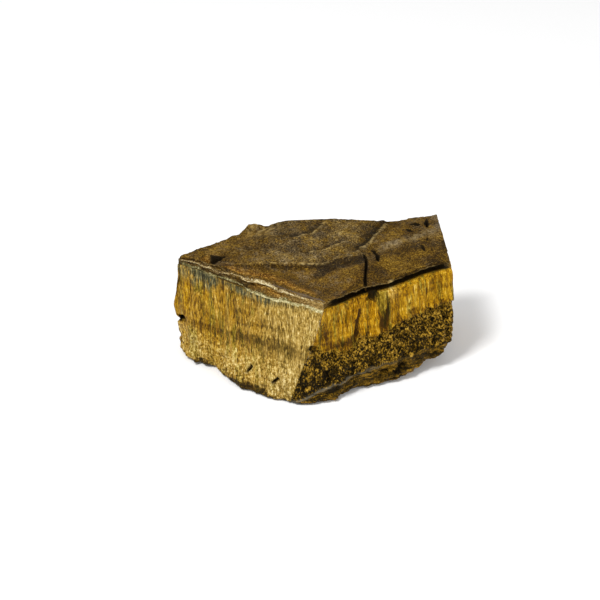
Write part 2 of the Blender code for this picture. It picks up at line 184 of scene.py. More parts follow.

# The ridge across the crust, and finer edges of broken layers. Each edge has its points in
# plan, its drop to the right of its way, and the strength of the highlight and the shade
# painted along it.
RIDGE = ((-32.4, -24.1, -16.9, -12.1, -7.2, -2.3, 2.9, 5.5, 8.2, 11.1, 14.1, 16.1, 17.4, 19.8),
    (-5.9, -7.4, -8.7, -7.7, -7.4, -7.9, -7.7, -5.5, -3.7, -3.3, -2.5, -0.9, -3.3, -8.3))
EDGES = [
    (((24.4, 17.6), (20.5, 10.9), (18.7, 5.7), (16.6, 3), (15.2, 1.8)), 0.4, 1),
    (((3.6, 19), (2.5, 15.6), (-0.4, 11.1), (-2.6, 9.9), (-5.6, 8.2)), 0.12, 0.7),
    (((10.6, 6), (6.5, 2.8), (4.3, 0.8), (-1, -1)), 0.1, 0.6),
    (((-14, 3.2), (-22, 2), (-27, 0.6)), 0.08, 0.3),
]
FOLD_DROP = 0.18
FOLD = ((3.2, -29.8), (6.3, -25.3), (9, -22), (11.8, -17.9), (14.2, -14.8), (16.5, -11))
# Heights on the right front face: the edge between its golden and its hackly part, and the
# pale line above the lower crust.
BREAK = ((-2, 0.6, 2, 8, 13, 14.4, 20, 24, 27.4, 35, 46),
    (23.2, 20.5, 18.2, 17, 16.4, 19.9, 18.6, 20.3, 21.8, 22.6, 23.2))
SKIN = ((-8, -4.3, 0.3, 6.1, 15.1, 22.3, 29.7, 36.9, 42, 46),
    (0.6, 1.9, 4.1, 5.9, 6.5, 7.7, 8.2, 8.5, 9, 10))
# Height of the dark crust's edge low on the left front face.
TOE = ((-46, -42.5, -40.5, -39.5, -35.5, -34, -29, -26.5, -22, -17, -13, -8),
    (0.5, 0.9, 1.2, 2.4, 2.4, 0.5, 0.6, 2.6, 3.4, 2.6, 0.8, 0.8))
# Lines along the top of the left front face: the pale vein, the lip, the dusky line above it
# and the orange stripe. Each is read along x. Its reach is the way up the surface from the
# seam's upper edge, and REACH is that way at each ring. A HALF is half the line's width.
REACH = (0.6, 2.2, 3, 3.9)      # at the shelf, the roof, the lip and the rim
VEIN = ((-43.5, -41.8, -40.1, -38.4, -35, -28.3, -25, -23.3, -21.7, -20, -16.8, -15.1, -11.9,
      -10.3, -5.5, -3.9, -0.8, 0.8, 2.4),
    (1.28, 1.13, 0.7, 1.11, 0.49, 1.34, 1.28, 1.13, 0.36, 0.12, 0.32, 0.12, 0.15, 0.73, 0.32,
     0.73, 0.35, -0.17, -0.33))
VEIN_HALF = ((-41.8, -38.4, -35, -33.3, -31.6, -26.6, -25, -16.8, -15.1, -10.3, -5.5, -3.9, -0.8,
      2.4),
    (0.58, 0.35, 0.32, 0.52, 0.22, 0.35, 0.13, 0.58, 0.27, 0.66, 0.71, 0.4, 0.75, 0.7))
HIDDEN_VEIN_HALF = 0.42         # the vein on the faces round the back
LIP_LINE = ((-39.4, -36, -34.4, -32.7, -31, -29.3, -27.7, -24.3, -21, -19.4, -14.5, -11.3, -9.7,
      -8.1, -4.9, -3.3, -0.1, 3),
    (2.86, 2.36, 2.9, 2.34, 2.32, 2.86, 3.17, 3.43, 3.21, 3.7, 4.44, 3.46, 4.01, 3.44, 3.47, 3.18,
     3.34, 3.8))
LIP_HALF = ((-39.4, -36, -30, -27, -24.3, -22, -14.5, -11, -8, -4.5, -2.5, 1.4),
    (0.4, 0.5, 0.36, 0.12, 0.1, 0.56, 0.74, 0.6, 0.46, 0.32, 0.13, 0.18))
DUSK = ((-12.6, -11, -9.4, -7.8, -6.2, -4.6, -1.4, 1.8),
    (4.74, 4.69, 4.98, 4.96, 4.4, 4.11, 3.87, 4.62))
DUSK_HALF = 0.36
STRIPE = ((-27.7, -22.7, -17.8, -16.2, -13, -11.3, -9.7, -8.1, -4.9, -3.3, -0.1, 1.5),
    (3.83, 4.82, 6.32, 6.33, 7.44, 6.98, 7.45, 7.19, 6.31, 6.49, 6.24, 7.06))
CAVITY_X = (-22.3, -20.7, -19.4, -16.8, -15.5, -14.2, -12.9, -10.3, -8.7, -7.8)
CAVITY_LOW = CAVITY_X, (1.28, 0.5, 0.5, 1.08, 0.52, 0.43, 0.47, 1.14, 1.16, 1.9)
CAVITY_HIGH = CAVITY_X, (1.28, 2.99, 3.31, 3.66, 3.84, 3.81, 3.19, 3.15, 2.6, 1.9)
# Heights of the ochre band and of the fine line above it.
BAND = ((-41.3, -35.4, -30.3, -25.6, -21.1, -16.6, -12.3, -8.4, -4.6),
    (16.3, 16.1, 15.9, 16.8, 18.4, 19.2, 19.6, 18.8, 19.6))
FINE = ((-27.3, -22.1, -16.6), (21.1, 22.8, 24.8))
# How far the blue band hangs down the left front face, and how strong it is.
BLUE_HANG = ((-45, -41, -39.5, -33, -31, -24, -14, -10, 3),
    (8, 6.5, 6.6, 6, 2.4, 3.4, 3.2, 1.8, 1.4))
BLUE_STRENGTH = ((-45, -42, -40.5, -39, -33, -31, -24, -15, -10, 3),
    (0.6, 0.6, 0.6, 1.1, 1.1, 0.45, 0.8, 0.8, 0.4, 0.35))
# Strength of the ochre band, of the painted highlight on the ridge's crest and of the
# painted shade at its foot.
BAND_STRENGTH = (-44, -40, -34, -27, -19, -11, -7, 3), (0.2, 0.6, 0.5, 0.75, 1, 1, 0.55, 0.45)
CREST_HIGHLIGHT_STRENGTH = (-30, -18, -12, 1, 6, 12, 17), (0.15, 0.3, 1, 0.9, 0.3, 0.5, 0.8)
FOOT_SHADE_STRENGTH = (-32, -24, -12, 3, 16), (0.45, 0.65, 0.8, 1, 0.5)
CAVITY_DEPTH = 1.9
FAR = 9.0                # a line's distance where the line isn't

# Masks that lead the material. The shade mask darkens the colour with painted shade at the grooves, the
# crevice, the ridge's foot, beside the crust's edges and in the hollow, and with the stone's own darker
# bands and patches. The bright mask lightens it with painted highlights on the ridge's crest, the crust's
# edges and the ledges, and painted light in the hollow and on a pit's wall, and with the stone's own paler
# tones.
MASKS = ("crust", "warm", "blue", "amber", "pale", "deep", "relief", "orange", "cream", "bright",
    "shade", "grey", "column", "chippy")
# Signed distances, in millimetres or in half widths of a line, that the material cuts.
DISTANCES = ("vein_off", "lip_off", "dusk_off", "above_break", "above_skin", "outside_pit")


def unit(value):
    """The value, kept between 0 and 1."""
    return np.clip(value, 0, 1)


def rise(low, high, value):
    """0 at low, 1 at high, level beyond them, and smooth between."""
    share = unit((value - low) / (high - low))
    return share * share * (3 - 2 * share)


def along_x(x, table):
    """Read a table of (places along x, values there)."""
    return np.interp(x, *table)


def bell(off, width=1):
    """1 where off is 0, falling away on both sides over the width."""
    return np.exp(-(off / width) ** 2)


def mound(off_x, width_x, off_y, width_y):
    """A bell over two directions."""
    return np.exp(-(off_x / width_x) ** 2 - (off_y / width_y) ** 2)


def lumps(points, size, seed, octaves=2):
    """Seeded noise at each point, about -1 to 1, with features of the given size."""
    offset = Vector((seed * 7.31, seed * 3.17, seed * 5.53))
    return np.array([noise.fractal(Vector(p) + offset, 1, 2, octaves) for p in points / size])


def ridges(points, size, seed):
    """Sharp-crested noise, 0 in the hollows to 1 on the crests."""
    return 1 - np.abs(lumps(points, size, seed)) * 1.6


def hashed(a, b, seed):
    """A repeatable value from -1 to 1 for each pair of whole numbers."""
    value = np.sin(a * 127.1 + b * 311.7 + seed * 74.7) * 43758.5453
    return 2 * (value - np.floor(value)) - 1


def plates(along, z, width, height, seed):
    """Steps between split fibre bundles: one value for each tall, narrow cell."""
    column = np.floor(along / width)
    row = np.floor(z / height + 5 * hashed(column, column, seed + 3))
    return hashed(column, row, seed)


def past_line(x, y, ends):
    """Distance to the right of a line between two plan points, and the share along it."""
    (x0, y0), (x1, y1) = ends
    length = np.hypot(x1 - x0, y1 - y0)
    way_x, way_y = (x1 - x0) / length, (y1 - y0) / length
    past = (x - x0) * way_y - (y - y0) * way_x
    return past, ((x - x0) * way_x + (y - y0) * way_y) / length


def beside_way(x, y, way):
    """Signed distance from a row of plan points, positive to the right of its way."""
    best = np.full(len(x), 1e9)
    signed = np.zeros(len(x))
    for (x0, y0), (x1, y1) in zip(way, way[1:]):
        length = np.hypot(x1 - x0, y1 - y0)
        share = unit(((x - x0) * (x1 - x0) + (y - y0) * (y1 - y0)) / length ** 2)
        away = np.hypot(x - x0 - share * (x1 - x0), y - y0 - share * (y1 - y0))
        past, _ = past_line(x, y, ((x0, y0), (x1, y1)))
        nearer = away < best
        signed = np.where(nearer, np.where(past > 0, away, -away), signed)
        best = np.where(nearer, away, best)
    return signed


def inside_outline(x, y, corners):
    """Depth inside a closed outline of plan points, negative outside it."""
    signed = beside_way(x, y, corners + corners[:1])
    crossings = np.zeros(len(x), dtype=int)
    for (x0, y0), (x1, y1) in zip(corners, corners[1:] + corners[:1]):
        between = (y0 > y) != (y1 > y)
        at_x = x0 + (y - y0) / (y1 - y0 if y1 != y0 else 1e-9) * (x1 - x0)
        crossings += between & (x < at_x)
    return np.where(crossings % 2 == 1, np.abs(signed), -np.abs(signed))


def crust_form(x, y):
    """Height of the crust over a plan point; how far it lies before the ridge and how far on
    the right slope."""
    flat = PLATEAU - FALL_LEFT * np.maximum(0, LEFT_OF_X - x)
    flat = flat - FALL_BACK * np.maximum(0, y - BEHIND_Y)
    flat = flat - FALL_RIGHT * np.maximum(0, x - RIGHT_OF_X)
    flat = flat - FALL_FRONT * np.maximum(0, BEFORE_Y - y)
    corner_x, corner_y = FRONT.seam
    left_slope = (FRONT_CORNER_HEIGHT + LEFT_SLOPE[0] * (x - corner_x)
        + LEFT_SLOPE[1] * (y - corner_y - 1))
    outside, _ = past_line(x, y, (FRONT.seam, RIGHT.seam))
    right_slope = FRONT_CORNER_HEIGHT - RIGHT_SLOPE * (outside + 1)

    ridge_line = along_x(x, RIDGE) + 0.25 * np.sin(x * 2.1) * np.sin(x * 0.7)
    before_ridge = ridge_line - y
    in_front = rise(-0.3, 0.7, before_ridge)
    in_front = in_front * rise(-38, -26, x)
    height = flat + in_front * (np.minimum(left_slope, flat) - flat)

    past_step, along = past_line(x, y, STEP_ENDS)
    beside = rise(-0.5, 0.9, past_step + 0.6 * np.sin(y * 0.7))
    beside = beside * rise(-0.5, 0, along) * rise(STEP_REACH, 1, past_step)
    height = height - STEP_DROP * beside

    past_lump, along = past_line(x, y, LUMP_ENDS)
    height = height - LUMP_DROP * rise(0.7, -0.7, past_lump) * rise(1.3, 1, along)
    height = height + 0.9 * mound(x + 7, 5, y - 22, 5)
    height = height - 0.9 * mound(x + 17, 4, y - 19, 4)
    on_right = rise(-0.3, 0.6, height - right_slope)
    return np.minimum(height, right_slope), in_front, on_right


def outward_normals(ring):
    """Unit plan vectors that point out of the closed row of stations."""
    plan = np.array([station.seam for station in ring])
    along = np.roll(plan, -1, axis=0) - np.roll(plan, 1, axis=0)
    normals = np.stack([along[:, 1], -along[:, 0]], axis=1)
    return normals / np.linalg.norm(normals, axis=1, keepdims=True)


def section(station, out):
    """The nine ring points of one upright section."""
    seam = np.array([*station.seam, SEAM_TOP])
    foot = np.array(station.foot)
    out = np.array([*out, 0])
    up = np.array([0, 0, 1])

    def between(height, bulge):
        share = (height - foot[2]) / (seam[2] - foot[2])
        return foot + share * (seam - foot) + bulge * out

    ground = (foot - out * (UNDERCUT + foot[2])) * (1, 1, 0)
    shelf = seam - station.gap * out + SHELF_RISE * up
    roof = seam - max(station.gap, 0.5 * station.inset) * out + GAP_HEIGHT * up
    lip = seam - station.inset * out + LIP_RISE * up
    rim = seam - (station.inset + RIM_BEVEL) * out
    rim[2] = crust_form(rim[0], rim[1])[0]
    return np.array([ground, foot, between(*station.sill), between(*station.belly), seam, shelf,
        roof, lip, rim])


def face_tables():
    """For each face: the share along it, and the section, of each of its stations."""
    ring = [station for face in FACES for station in face]
    normals = outward_normals(ring)
    sections = np.array([section(s, n) for s, n in zip(ring, normals)])
    closed = np.concatenate([sections, sections[:1]])
    tables = []
    first = 0
    for face in FACES:
        part = closed[first:first + len(face) + 1]
        steps = np.linalg.norm(np.diff(part[:, SEAM, :2], axis=0), axis=1)
        shares = np.concatenate([[0], np.cumsum(steps)]) / steps.sum()
        tables.append((shares, part, steps.sum()))
        first += len(face)
    return tables


def read_face(table, share, level):
    """Points at a share (0-1) along a face, at a level that may lie between two rings."""
    shares, sections, _ = table
    below = np.minimum(np.floor(level).astype(int), RIM - 1)
    rest = (level - below)[:, None]
    rings = np.array([[np.interp(share, shares, sections[:, ring, axis]) for axis in range(3)]
        for ring in range(RIM + 1)])
    each = np.arange(len(share))
    return rings[below, :, each] * (1 - rest) + rings[below + 1, :, each] * rest


def cap_points(tables, u, v, ring):
    """Plan points that fill one ring, blended from its four sides."""
    level = np.full(len(u), float(ring))
    near = read_face(tables[0], u, level)
    right = read_face(tables[1], v, level)
    far = read_face(tables[2], 1 - u, level)
    left = read_face(tables[3], 1 - v, level)
    corners = [table[1][0, ring] for table in tables]
    u, v = u[:, None], v[:, None]
    flat = ((1 - u) * (1 - v) * corners[0] + u * (1 - v) * corners[1] + u * v * corners[2]
        + (1 - u) * v * corners[3])
    return (1 - v) * near + v * far + (1 - u) * left + u * right - flat


def wrapped_grid():
    """A unit cube cut into a grid of cells."""
    mesh = bmesh.new()
    bmesh.ops.create_cube(mesh, size=1, matrix=Matrix.Translation((0.5, 0.5, 0.5)))
    for axis, cells in enumerate((CELLS_U, CELLS_V, sum(ROWS))):
        whole_edges = [edge for edge in mesh.edges
            if abs(edge.verts[0].co[axis] - edge.verts[1].co[axis]) > 0.5]
        bmesh.ops.subdivide_edges(mesh, edges=whole_edges, cuts=cells - 1)
    return mesh


def levels_of_rows(share):
    """Turn an even share of the cube's height into a level between the rings."""
    rows = np.concatenate([[0], np.cumsum(ROWS)])
    return np.interp(share * rows[-1], rows, np.arange(len(rows)))


def cleft_depth(points):
    """How far each point sinks into the clefts of the sides."""
    depth = np.zeros(len(points))
    for place, size, turn, lean in CLEFTS:
        spin = (Matrix.Rotation(np.radians(turn), 3, "Z")
            @ Matrix.Rotation(np.radians(lean), 3, "Y"))
        across, inward, up = ((points - place) @ np.array(spin)).T
        inside = np.minimum(1 - np.abs(across) * 2 / size[0], 1 - np.abs(up) * 2 / size[2])
        sink = np.clip(0.5 * size[1] - inward, 0, size[1])
        depth = np.maximum(depth, sink * rise(0, 0.3, inside) * (np.abs(inward) < size[1]))
    return depth


def shape_side(points, level, out, along, face, masks):
    """Relief and masks of one broken face."""
    x, y, z = points.T
    count = len(points)
    columns = np.stack([x + 0.1 * z, y, 0.08 * z], axis=1)
    flutes = lumps(columns, FLUTES[1], seed=1)
    swell = lumps(points, SWELL[1], seed=2)
    hackles = lumps(points, HACKLES[1], seed=3)
    above_ground = rise(GROUND + 0.2, FOOT, level)
    on_seam = rise(FOOT - 0.2, FOOT + 0.6, level) * rise(SEAM, SEAM - 0.3, level)
    on_right_front = rise(-0.4, 3.6, x) * rise(6, -2, y)
    broken = rise(BELLY + 0.15, BELLY - 0.25, level) * above_ground * on_right_front
    chipped = rise(SILL + 0.6, FOOT + 0.2, level) * above_ground
    hidden = rise(8, 16, y + 0.15 * x)
    on_crust = rise(ROOF + 0.6, LIP, level) * rise(RIM, RIM - 0.6, level)
    amount = on_seam * (FLUTES[0] * flutes + SWELL[0] * swell)
    amount += on_seam * hidden * (HIDDEN_SWELL * swell + HIDDEN_HACKLES * hackles)
    smoother = np.ones(count)
    if face == 1:
        smoother = rise(-1, 1, z - along_x(x, SKIN))
    amount += ((HACKLES[0] * broken * (0.35 + 0.5 * smoother) + SPLINTERS[0] * chipped
        * (0.4 + 0.6 * smoother) + CRUST_EDGE * on_crust) * hackles)

    # Detail below the size of the solid's facets.
    wander = lumps(points, 6, seed=11)
    grain = lumps(points, 0.8, seed=15)
    underneath = rise(FOOT + 0.05, FOOT - 0.3, level)
    slanted = along + 0.1 * z + 0.5 * wander
    if face == 1:
        break_edge = along_x(x, BREAK) + 0.9 * lumps(points, 2.4, seed=17)
        above_break = z - break_edge
        hackly = rise(0.3, -0.3, above_break)
    elif face == 0:
        above_break = np.full(count, 9.0)
        hackly = np.zeros(count)
    else:
        patches = wander + 0.8 * lumps(points, 17, seed=12)
        above_break = 5 * (0.34 - 0.8 * patches + 0.9 * (level - SILL))
        hackly = rise(0.4, -0.4, above_break)
    hackly = hackly * rise(FOOT + 0.3, FOOT + 0.6, level)
    fibrous = rise(FOOT, FOOT + 0.5, level) * rise(SEAM + 0.02, SEAM - 0.02, level) * (1 - hackly)
    strength = 0.8 if face == 0 else 1.6
    strands = lumps(np.stack([slanted, 0.12 * z, 0 * z], axis=1), 0.8, seed=13)
    steps = (0.09 * plates(slanted, z, 1.3, 6, 1) + 0.17 * plates(slanted, z, 3.3, 14, 2)
        + 0.08 * plates(slanted + 0.3, z, 0.8, 3.5, 4))
    fine = ridges(points, 1.3, seed=14)
    seam_fade = rise(SEAM, SEAM - 0.08, level)
    thread = fibrous * seam_fade * strength * (0.12 * strands + steps)
    chips = (rise(14, 7, z + 3 * wander) * above_ground * (1 - hackly)
        * (0.3 * grain + 0.45 * (ridges(points, 2, seed=18) - 0.5)))
    shatter = hackly * above_ground * (0.2 + 0.8 * smoother) * (0.75 * fine - 0.4 + 0.35 * grain)
    undercut = hackly * rise(-4, -0.4, above_break) * 0.8
    flare = rise(3, 0.3, above_break) * (1 - hackly) * fibrous * 0.5
    crusty = rise(SEAM + 0.3, SHELF, level)
    layers = np.sin(z * 9 + 3 * lumps(points, 7, seed=16) + 1.5 * grain)
    edge_detail = crusty * rise(RIM, RIM - 0.5, level) * (0.16 * layers + 0.2 * grain)
    clefts = cleft_depth(points)
    amount += thread + chips + shatter - undercut + flare + edge_detail - clefts

    masks["crust"] = np.maximum(crusty, underneath)
    masks["above_break"] = np.clip(above_break, -FAR, FAR)
    masks["relief"] = np.clip(0.3 * flutes + thread / strength + 0.9 * chips + 0.9 * shatter
        + 1.6 * edge_detail, -1, 1)
    masks["warm"] = crusty
    layered = crusty * rise(RIM, RIM - 0.3, level) * rise(SHELF - 0.1, SHELF + 0.3, level)
    masks["bright"] = 0.28 * layered * rise(0.55, 0.95, layers)
    masks["shade"] = 0.55 * layered * rise(0.2, -0.4, layers)
    # Painted shade, towards black, in the clefts and in the crevice between the seam and the lip; the deep
    # mask carries it to the material.
    dark = unit(clefts)
    gap = rise(SEAM + 0.02, SEAM + 0.35, level) * rise(LIP + 0.1, ROOF + 0.4, level)
    if face == 0:
        finish_left_front(points, level, wander, strands, grain, masks)
        amount += 0.22 * bell(masks["vein_off"]) * (1 + grain)
        amount += 0.25 * bell(masks["lip_off"]) - CAVITY_DEPTH * masks["orange"]
        # Painted shade in the crevice on the left, but not in the orange hollow.
        dark = np.maximum(dark, 0.45 * gap * (1 - masks["orange"]) * rise(-10, -16, x)
            * unit(0.5 + 1.5 * grain))
    elif face == 1:
        finish_right_front(points, level, above_break, wander, strands, fibrous, masks)
        proud = rise(23.4, 24, x + 0.35 * strands + 0.05 * (27 - z)) * rise(19, 22, z)
        groove = rise(0.8, 0.2, np.abs(x - 14 - 0.04 * (z - 25))) * rise(19, 21, z)
        groove *= rise(31.5, 29.5, z)
        amount += fibrous * seam_fade * (0.75 * proud - 0.6 * groove)
        # Painted shade along the groove, and deep in the crevice towards the right.
        lift(masks, "shade", groove)
        dark = np.maximum(dark, np.maximum(0.35 * groove, gap * rise(3.2, 6, x)))
    else:
        masks["amber"] = np.full(count, 0.4)
        lift(masks, "shade", unit(0.5 * wander))
        vein = (reach_of(z, level) - 0.3 - 0.4 * wander) / HIDDEN_VEIN_HALF
        missing = rise(-0.1, 0.3, lumps(points, 11, seed=19) + 2 * rise(18, 12, y)
            * rise(0, 20, x))
        masks["vein_off"] = ending(vein, missing)
        # Painted shade in the crevice round the back, but not on the vein.
        dark = np.maximum(dark, 0.4 * gap * (1 - bell(masks["vein_off"])))
    masks["deep"] = np.maximum(dark, masks.get("deep", 0))
    return points + amount[:, None] * out


def lift(masks, name, least):
    """Raise a mask to at least the given values."""
    masks[name] = np.maximum(masks[name], least)


def reach_of(z, level):
    """The way up the surface from the seam's upper edge, negative below it."""
    above = np.interp(level, (SEAM, SHELF, ROOF, LIP, RIM), (0, *REACH))
    return np.where(level < SEAM, z - SEAM_TOP, above)


def ending(off, gone):
    """Push a line's distances away on both sides where the line has gone."""
    return off + np.where(off < 0, -FAR, FAR) * gone


def line_distances(x, reach, masks):
    """How far each point is from the vein, the pale lip and the dusky line above it."""
    vein = (reach - along_x(x, VEIN)) / along_x(x, VEIN_HALF)
    masks["vein_off"] = ending(vein, rise(-43.2, -45, x))
    masks["lip_off"] = (reach - along_x(x, LIP_LINE)) / along_x(x, LIP_HALF)
    dusk = (reach - along_x(x, DUSK)) / DUSK_HALF
    masks["dusk_off"] = ending(dusk, rise(-13, -15, x))


def cavity_inside(x, reach):
    """How far inside the hollow under the left front rim each point is."""
    low, high = along_x(x, CAVITY_LOW), along_x(x, CAVITY_HIGH)
    return np.minimum(reach - low, high - reach)


def finish_left_front(points, level, wander, strands, grain, masks):
    """Masks of the left front face: lines, blue band, ochre band, cavity and lip."""
    x, _, z = points.T
    reach = reach_of(z, level)
    line_distances(x, reach, masks)
    fade = rise(1, 0.35, (SEAM_TOP - z) / along_x(x, BLUE_HANG) + 0.5 * strands)
    masks["blue"] = fade * along_x(x, BLUE_STRENGTH) * rise(SHELF, SEAM, level)
    gold = bell(x + 33 + 0.06 * z, 3.2) + 0.6 * bell(x + 43, 2)
    masks["column"] = unit(gold * rise(33, 28, z + 3 * strands))
    low = rise(15, 8, z + 2 * wander)
    masks["pale"] = np.maximum(rise(-28, -8, x + 3 * wander), 0.5 * low)
    band = bell(z - along_x(x, BAND) - 1.2 * wander, 1.9) * along_x(x, BAND_STRENGTH)
    second = bell(z - along_x(x, FINE) - 0.5 * wander, 0.5) * rise(-30, -27, x)
    drab = bell(x + 26, 3.5) * rise(21, 27, z)
    bands = 0.5 * band + 0.32 * second * rise(-4, -10, x) + 0.2 * drab + 0.08 * rise(-26, -33, x)
    lift(masks, "shade", unit(bands))
    masks["chippy"] = rise(19, 11, z + 2.5 * wander)
    lift(masks, "bright", np.maximum(0.52 * low, 0.3 * rise(-12, -4, x) * (1 - band)))
    hollow = rise(-0.05, 0.45, cavity_inside(x, reach))
    above_seam = rise(SEAM, SHELF, level)
    masks["orange"] = hollow
    upper = reach - along_x(x, CAVITY_HIGH)
    # Paler towards the hollow's top, with its cream rim and painted light there; painted shade at its left
    # end and low in it.
    lift(masks, "bright", hollow * (0.35 + 0.65 * rise(-1.7, -0.2, upper)))
    painted_cavity_shade = np.maximum(rise(-19.6, -21.4, x), 0.4 * rise(-2, -2.8, upper))
    lift(masks, "shade", hollow * painted_cavity_shade)
    pink = rise(-9.5, -6.5, x) * above_seam * rise(3.8, 3.2, reach)
    masks["cream"] = pink * (0.62 + 0.3 * grain)
    lift(masks, "shade", 0.55 * (above_seam * (1 - hollow) * rise(-10, -21, x)))
    # Dark crust low on the face, with painted shade of the gap under the stone's edge.
    toe = along_x(x, TOE) + 0.8 * grain
    under = rise(toe + 0.5, toe - 0.5, z)
    masks["deep"] = 0.8 * under * unit(0.75 + 1.2 * grain)
    chip = rise(7, 3.5, z + 2.5 * wander) * unit(0.2 + 1.5 * grain)
    lift(masks, "shade", np.maximum(under, 0.6 * chip))


def finish_right_front(points, level, above_break, wander, strands, fibrous, masks):
    """Masks of the right front face: gold, brown patches, pale ledge and lower crust."""
    x, _, z = points.T
    masks["amber"] = np.ones(len(points))
    masks["pale"] = 0.5 * rise(3, 0, x) * rise(24, 30, z)
    # Painted shade beside and along the step at the right plate's edge (the patch at x 22.4 and the step's
    # line), together with darker patches, brown streaks and olive gold.
    patch = mound(x - 22.4, 1.3, z - 23.5, 2.8)
    near_edge = mound(x - 2.8, 2.2, z - 24.5, 3)
    low = rise(4.5, 0.6, above_break) * rise(12, 17, x)
    olive = rise(5.2, 3.4, above_break + wander) * rise(15, 13, x) * rise(1.5, 3.5, x)
    streaks = unit(0.5 + 1.2 * strands)
    painted_step_shade = bell(x - 23.5 + 0.05 * (27 - z), 0.4) * rise(21, 23.5, z) * rise(33.5, 31, z)
    brown_patches_and_painted_shade = patch + 0.8 * near_edge + 0.75 * low * streaks + painted_step_shade + 0.55 * olive
    lift(masks, "shade", unit(brown_patches_and_painted_shade) * fibrous)
    masks["relief"] += 0.5 * fibrous * plates(x + 0.1 * z, z, 2.6, 11, 7)
    # Painted highlights: the ledge's lit edge above the break, and the top corner of the right plate, paler
    # there as well.
    ledge = bell(above_break - 0.4, 0.5) * rise(3, 5, x)
    masks["bright"] += ledge * np.where(x < 14, 1, 0.45) * rise(34, 24, x)
    masks["bright"] += 0.8 * bell(x - 24.6, 0.8) * rise(29, 33, z)
    masks["pale"] += 0.6 * bell(x - 25.2, 1.6) * rise(29, 32.5, z)
    masks["column"] = 0.5 * rise(20, 30, x) + 0.5 * rise(12, 6, x)
    # Painted shade, towards black, along the step.
    masks["deep"] = 0.4 * painted_step_shade * unit(0.6 + strands)
    lift(masks, "shade", 0.6 * (rise(17, 8, x) * rise(15, 8, z) * (1 - fibrous)))
    skin_edge = along_x(x, SKIN) + 0.25 * wander
    masks["above_skin"] = np.clip(z - skin_edge, -FAR, FAR)
    masks["grey"] = bell(z - skin_edge, 0.34) * rise(36, 8, x)
    lip = rise(ROOF + 0.5, LIP, level) * rise(LIP + 0.5, LIP + 0.1, level)
    tapering = rise(9, 3, x) * rise(SHELF, ROOF, level) * rise(RIM, LIP, level)
    masks["cream"] = unit(np.maximum(0.3 * lip * rise(11, 6, x), 0.7 * tapering))
    # Painted shade in the crevice, from its roof up, towards the right.
    lift(masks, "shade", 0.9 * rise(SHELF, ROOF, level) * rise(5, 9, x))
    masks["crust"] *= rise(0.9, 0.2, masks["grey"])


def pit_form(x, y):
    """How far each plan point sinks into the crust's pits, and how far it is outside them."""
    crack = 0.5 * CRACK_WIDTH - np.abs(beside_way(x, y, CRACK))
    depth = CRACK_DEPTH * rise(0, 0.4 * CRACK_WIDTH, crack)
    outside = -crack
    for corners, deep, wall in PITS:
        inside = inside_outline(x, y, corners)
        depth = np.maximum(depth, deep * rise(0, wall, inside))
        outside = np.minimum(outside, -inside)
    return depth, np.clip(outside, -FAR, FAR)


def rim_distance(x, y):
    """Distance in plan from the crust's left front rim."""
    rim = [tuple(point[:2]) for point in face_tables()[0][1][:, RIM]]
    return np.abs(beside_way(x, y, rim))


